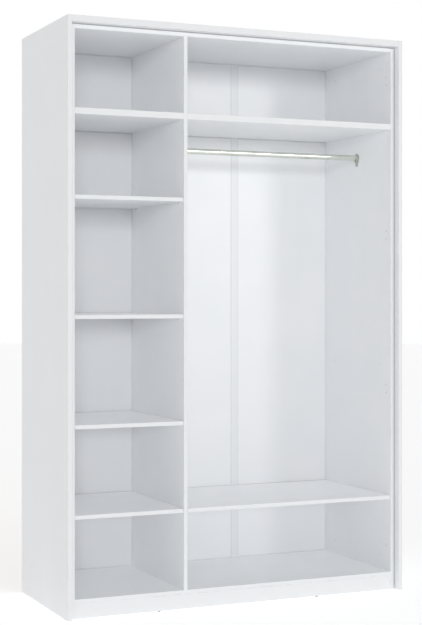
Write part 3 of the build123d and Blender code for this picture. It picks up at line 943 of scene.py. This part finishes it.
class Fittings:
    """The finishes of everything that isn't a board, each made once."""

    def __init__(self) -> None:
        """Makes the materials."""
        # Nickel on a drawn steel tube: a pale, faintly green mirror with hair-fine rings from hangers.
        self.nickel_tube = PlatedMetal(
            "nickel_plated_steel_tube", plate="#E3E6DE", thin_plate="#D0D4CA", roughness=0.16,
            stretch=(1.0, 0.12, 0.12), mark_mm=2.5, mark_height_mm=0.01, patch_mm=60.0,
        ).material()
        # Nickel on a zinc die casting: the same tint, broken by the rippled skin of the casting.
        self.nickel_casting = PlatedMetal(
            "nickel_plated_zinc_casting", plate="#C6CAC1", thin_plate="#A9ADA3", roughness=0.3,
            stretch=(1.0, 1.0, 1.0), mark_mm=2.2, mark_height_mm=0.05, patch_mm=12.0,
        ).material()
        # Bright zinc on rolled steel: bluish grey with pale yellow bloom where the passivation is thick.
        self.zinc_steel = PlatedMetal(
            "zinc_plated_steel", plate="#BFC6CE", thin_plate="#C9C4B0", roughness=0.34,
            stretch=(1.0, 0.3, 1.0), mark_mm=1.4, mark_height_mm=0.02, patch_mm=9.0,
        ).material()
        # Bare zinc casting: mid grey, matt, with the grain of the mould.
        self.zinc_casting = PlatedMetal(
            "bare_zinc_casting", plate="#A7A9AC", thin_plate="#8E9093", roughness=0.48,
            stretch=(1.0, 1.0, 1.0), mark_mm=0.9, mark_height_mm=0.04, patch_mm=6.0,
        ).material()
        # ABS, polyamide, polypropylene and polyethylene mouldings, from white caps to dark glides.
        self.white_plastic = MouldedPlastic("white_abs", "#EDEFF0", "#E4E7E9").material()
        self.pale_plastic = MouldedPlastic("pale_polyamide", "#E3E6E8", "#D6DADD").material()
        self.grey_plastic = MouldedPlastic("grey_polypropylene", "#B4B6B8", "#A5A8AA").material()
        self.dark_plastic = MouldedPlastic("dark_polyethylene", "#8E9193", "#7D8083", glow=0.0).material()
        self.beech = FlutedBeech().material()


# The short screws that hold the rail's saddles and the wall angles.
SHORT_SCREW = Cut(Recess.CROSS, 0.55, 1.3, pitch_mm=1.5, thread_mm=0.45, ease_mm=0.12)


@dataclass
class Assembly:
    """Pieces of the wardrobe that are dressed together.

    Attributes:
        board: The finish of its boards.
        fittings: The finishes of its hardware.
    """

    board: MelamineBoard
    fittings: Fittings

    def dress_boards(self, across: Axis, *boards: str) -> None:
        """Gives each board its own finish.

        Args:
            across: The direction of their thickness.
            *boards: Their CAD nodes.
        """
        for node in boards:
            dress(frame["nodes"][node], self.board.material(node, across))
            LOG.info("board %s", node)

    def dress_node(self, node: str, material: Material, rounding_mm: float = 0.0) -> None:
        """Gives a CAD node a finish, and rounds its edges as they are shown without touching its mesh.

        Args:
            node: The CAD node.
            material: Its finish.
            rounding_mm: How wide its sharp edges are rounded, or 0 to leave them.
        """
        item = frame["nodes"][node]
        dress(item, material)
        if rounding_mm:
            weld = item.modifiers.new("joined_corners", "WELD")
            weld.merge_threshold = JOINED_MM * MM
            bevel = item.modifiers.new("rounded_edges", "BEVEL")
            bevel.width = rounding_mm * MM
            bevel.segments = ROUNDING_STEPS
            bevel.limit_method = "ANGLE"
            bevel.angle_limit = math.radians(ROUNDED_FROM_DEG)
            bevel.harden_normals = True
        LOG.info("fitting %s", node)

    def turn_again(self, node: str, cut: Cut, material: Material) -> None:
        """Builds the round pieces of a CAD node again, in full detail, to stand for it.

        Args:
            node: The CAD node.
            cut: What is cut into each piece.
            material: Their finish.
        """
        record = frame["record"]
        bodies = record["behaviour"]["bodies"]
        pieces = [read_turned(points) for points in separate_solids(node)]
        item = lathe(f"{node}_turned", pieces, cut)
        dress(item, material)
        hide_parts(node)
        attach(item, next(body for body, nodes in bodies.items() if node in nodes))
        LOG.info("turned %d %s", len(pieces), node)


@dataclass
class OuterShell(Assembly):
    """Outer sides and outer top, with the spacers, screws and caps that hold them to the carcass."""

    screw: Cut = Cut(Recess.CROSS, 0.75, 2.2, pitch_mm=2.0, thread_mm=0.55)

    def build(self) -> None:
        """Dresses the boards and builds the screws."""
        self.dress_boards(Axis.X, "outer_side_left", "outer_side_right")
        self.dress_boards(Axis.Z, "outer_top")
        self.dress_node("shell_spacers", self.fittings.grey_plastic)
        self.dress_node("screw_caps", self.fittings.white_plastic)
        self.turn_again("shell_screws", self.screw, self.fittings.zinc_steel)


@dataclass
class Carcass(Assembly):
    """The inner box and its plinth, with the hardware in its joints."""

    confirmat: Cut = Cut(Recess.HEXAGON, 2.0, 2.6, pitch_mm=3.2, thread_mm=0.8)
    dowel: Cut = Cut(flutes=12, flute_mm=0.45, ease_mm=0.9, steps=96)
    cam_bolt: Cut = Cut(Recess.CROSS, 0.7, 1.6, pitch_mm=1.6, thread_mm=0.5)

    def build(self) -> None:
        """Dresses the boards and builds the screws, dowels and cam bolts."""
        self.dress_boards(Axis.X, "carcass_side_left", "carcass_side_right", "divider", "plinth_bearer")
        self.dress_boards(Axis.Y, "plinth_front", "plinth_rear")
        self.dress_boards(Axis.Z, "carcass_top", "carcass_floor")
        self.dress_node("cam_discs", self.fittings.zinc_casting)
        self.turn_again("confirmat_screws", self.confirmat, self.fittings.zinc_steel)
        self.turn_again("wood_dowels", self.dowel, self.fittings.beech)
        self.turn_again("cam_bolts", self.cam_bolt, self.fittings.zinc_steel)


@dataclass
class Shelving(Assembly):
    """Fixed and loose shelves with the plastic supports under the loose ones."""

    support_rounding_mm: float = 0.5

    def build(self) -> None:
        """Dresses the shelves, and rounds and dresses their supports."""
        shelves = [node for node in frame["nodes"] if "shelf_" in node and node != "shelf_supports"]
        self.dress_boards(Axis.Z, *shelves)
        self.dress_node("shelf_supports", self.fittings.pale_plastic, self.support_rounding_mm)


@dataclass
class BackWall(Assembly):
    """Three thin back panels, the strip that joins two of them, and their nails."""

    nail: Cut = Cut(ease_mm=0.3, steps=20)
    nailed_to: tuple[str, ...] = (
        "carcass_side_left", "carcass_side_right", "carcass_top", "carcass_floor",
        "divider", "top_shelf_left", "top_shelf_right",
    )

    def build(self) -> None:
        """Dresses the panels and the strip and builds the nails."""
        finish = LacqueredFibreboard()
        for place in ("left", "middle", "right"):
            node = f"back_panel_{place}"
            self.dress_node(node, finish.material(node, self.nailed_to))
        self.dress_node("back_joint_strip", ExtrudedVinyl().material("back_joint_strip"))
        self.turn_again("back_panel_nails", self.nail, self.fittings.zinc_steel)


@dataclass
class HangingRail(Assembly):
    """The steel rail, its two cast saddles and their screws."""

    casting_rounding_mm: float = 0.7

    def build(self) -> None:
        """Dresses the rail, rounds and dresses the saddles, and builds the screws."""
        self.dress_node("hanging_rail", self.fittings.nickel_tube)
        for place in ("left", "right"):
            self.dress_node(f"rail_bracket_{place}", self.fittings.nickel_casting, self.casting_rounding_mm)
        self.turn_again("rail_bracket_screws", SHORT_SCREW, self.fittings.zinc_steel)


@dataclass
class Footing(Assembly):
    """The nailed glides that the boards stand on."""

    glide: Cut = Cut(ease_mm=0.8, steps=40)

    def build(self) -> None:
        """Builds the glides."""
        self.turn_again("floor_glides", self.glide, self.fittings.dark_plastic)


@dataclass
class WallFixing(Assembly):
    """The two steel angles on the outer top and their screws."""

    angle_rounding_mm: float = 0.4

    def build(self) -> None:
        """Rounds and dresses the angles and builds the screws."""
        for place in ("left", "right"):
            self.dress_node(f"wall_bracket_{place}", self.fittings.zinc_steel, self.angle_rounding_mm)
        self.turn_again("wall_bracket_screws", SHORT_SCREW, self.fittings.zinc_steel)


@dataclass(frozen=True)
class FarLight:
    """A broad studio light so far away that it reaches every part of the wardrobe alike.

    Attributes:
        name: The light's name.
        azimuth_deg: 0 in front of the wardrobe, 90 on its right.
        elevation_deg: The angle above the horizon.
        breadth_deg: How wide it looks from the wardrobe, which softens its shadows.
        strength: Its strength, in watts per square metre.
        casts_shadow: Whether the boards shade each other from it.
    """

    name: str
    azimuth_deg: float
    elevation_deg: float
    breadth_deg: float
    strength: float
    casts_shadow: bool

    def place(self) -> None:
        """Hangs the light so that it faces the wardrobe."""
        light = bpy.data.lights.new(self.name, "SUN")
        light.energy = self.strength
        light.angle = math.radians(self.breadth_deg)
        light.use_shadow = self.casts_shadow
        tilt = math.radians(90 - self.elevation_deg)
        shown(light).rotation_euler = (tilt, 0.0, math.radians(self.azimuth_deg))


@dataclass(frozen=True)
class Studio:
    """A pale floor, even white surroundings, soft lights and the camera.

    Attributes:
        floor_radius_m: How far the floor reaches.
        floor_sides: How many sides stand for its round rim.
        floor_tint: The floor's colour.
        floor_roughness: How dull it is.
        floor_glow: How much light the floor gives of its own, as paper lit from below does.
        surround_strength: How brightly the surroundings light the wardrobe.
        backdrop_strength: How bright the surroundings themselves look.
        camera_at: Where the camera stands, in metres in the wardrobe's frame.
        heading_deg: How far the level camera is turned from +Y towards +X.
        lens_mm: Its focal length for a long side of 36 mm.
        shift: Its shift across and up, as shares of the long side.
    """

    floor_radius_m: float = 30.0
    floor_sides: int = 96
    floor_tint: str = "#FBFBFB"
    floor_roughness: float = 0.95
    floor_glow: float = 0.37
    surround_strength: float = 0.37
    backdrop_strength: float = 1.0
    camera_at: Triple = (-2.538, -5.551, 1.269)
    heading_deg: float = 23.44
    lens_mm: float = 82.83
    shift: Range = (0.0426, -0.032)
    lights: tuple[FarLight, ...] = (
        FarLight("key_light", 26.5, 6.0, 12.0, 0.26, True),
        FarLight("front_light", -20.0, 6.0, 10.0, 0.64, True),
        FarLight("left_fill", -90.0, 30.0, 2.0, 0.22, False),
        FarLight("top_fill", 0.0, 90.0, 2.0, 0.44, False),
        FarLight("low_fill", 0.0, -90.0, 2.0, 0.03, False),
    )

    def build(self) -> None:
        """Sets up the studio around the wardrobe."""
        self.lay_floor()
        self.light_surroundings()
        for light in self.lights:
            light.place()
            LOG.info("light %s", light.name)
        self.set_camera()
        bpy.context.scene.view_settings.view_transform = "Standard"

    def lay_floor(self) -> None:
        """Lays a round pale floor just under the wardrobe."""
        mesh = bmesh.new()
        bmesh.ops.create_circle(mesh, cap_ends=True, radius=self.floor_radius_m, segments=self.floor_sides)
        made = bpy.data.meshes.new("studio_floor")
        mesh.to_mesh(made)
        mesh.free()
        floor = shown(made)
        # Matt seamless paper: a dull, almost white surface that only takes soft contact shadows.
        paper = {
            "Base Color": linear(self.floor_tint),
            "Roughness": self.floor_roughness,
            "Emission Color": linear(self.floor_tint),
            "Emission Strength": self.floor_glow,
        }
        dress(floor, Graph("seamless_paper").finish(paper))

    def light_surroundings(self) -> None:
        """Makes the surroundings an even white, brighter to the eye than the light that they give."""
        graph = Graph("white_surroundings", "worlds", "Background")
        lighting = graph.add("LightPath", {}, "Is Diffuse Ray")
        seen_and_given = between((self.backdrop_strength, self.surround_strength), "To")
        strength = graph.add("MapRange", {"Value": lighting, **seen_and_given})
        bpy.context.scene.world = graph.finish({"Color": (1.0, 1.0, 1.0, 1.0), "Strength": strength})

    def set_camera(self) -> None:
        """Stands the level camera in front of the wardrobe, to its left."""
        camera = bpy.data.cameras.new("camera")
        camera.lens = self.lens_mm
        camera.shift_x, camera.shift_y = self.shift
        item = shown(camera)
        item.location = self.camera_at
        item.rotation_euler = (math.radians(90), 0.0, -math.radians(self.heading_deg))
        bpy.context.scene.camera = item


def main() -> None:
    """Dresses the wardrobe, one sub-assembly after another, and sets up the studio."""
    logging.basicConfig(level=logging.INFO, format="%(message)s")
    board = MelamineBoard()
    fittings = Fittings()
    for assembly in (OuterShell, Carcass, Shelving, BackWall, HangingRail, Footing, WallFixing):
        assembly(board, fittings).build()
    Studio().build()


if __name__ == "__main__":
    main()
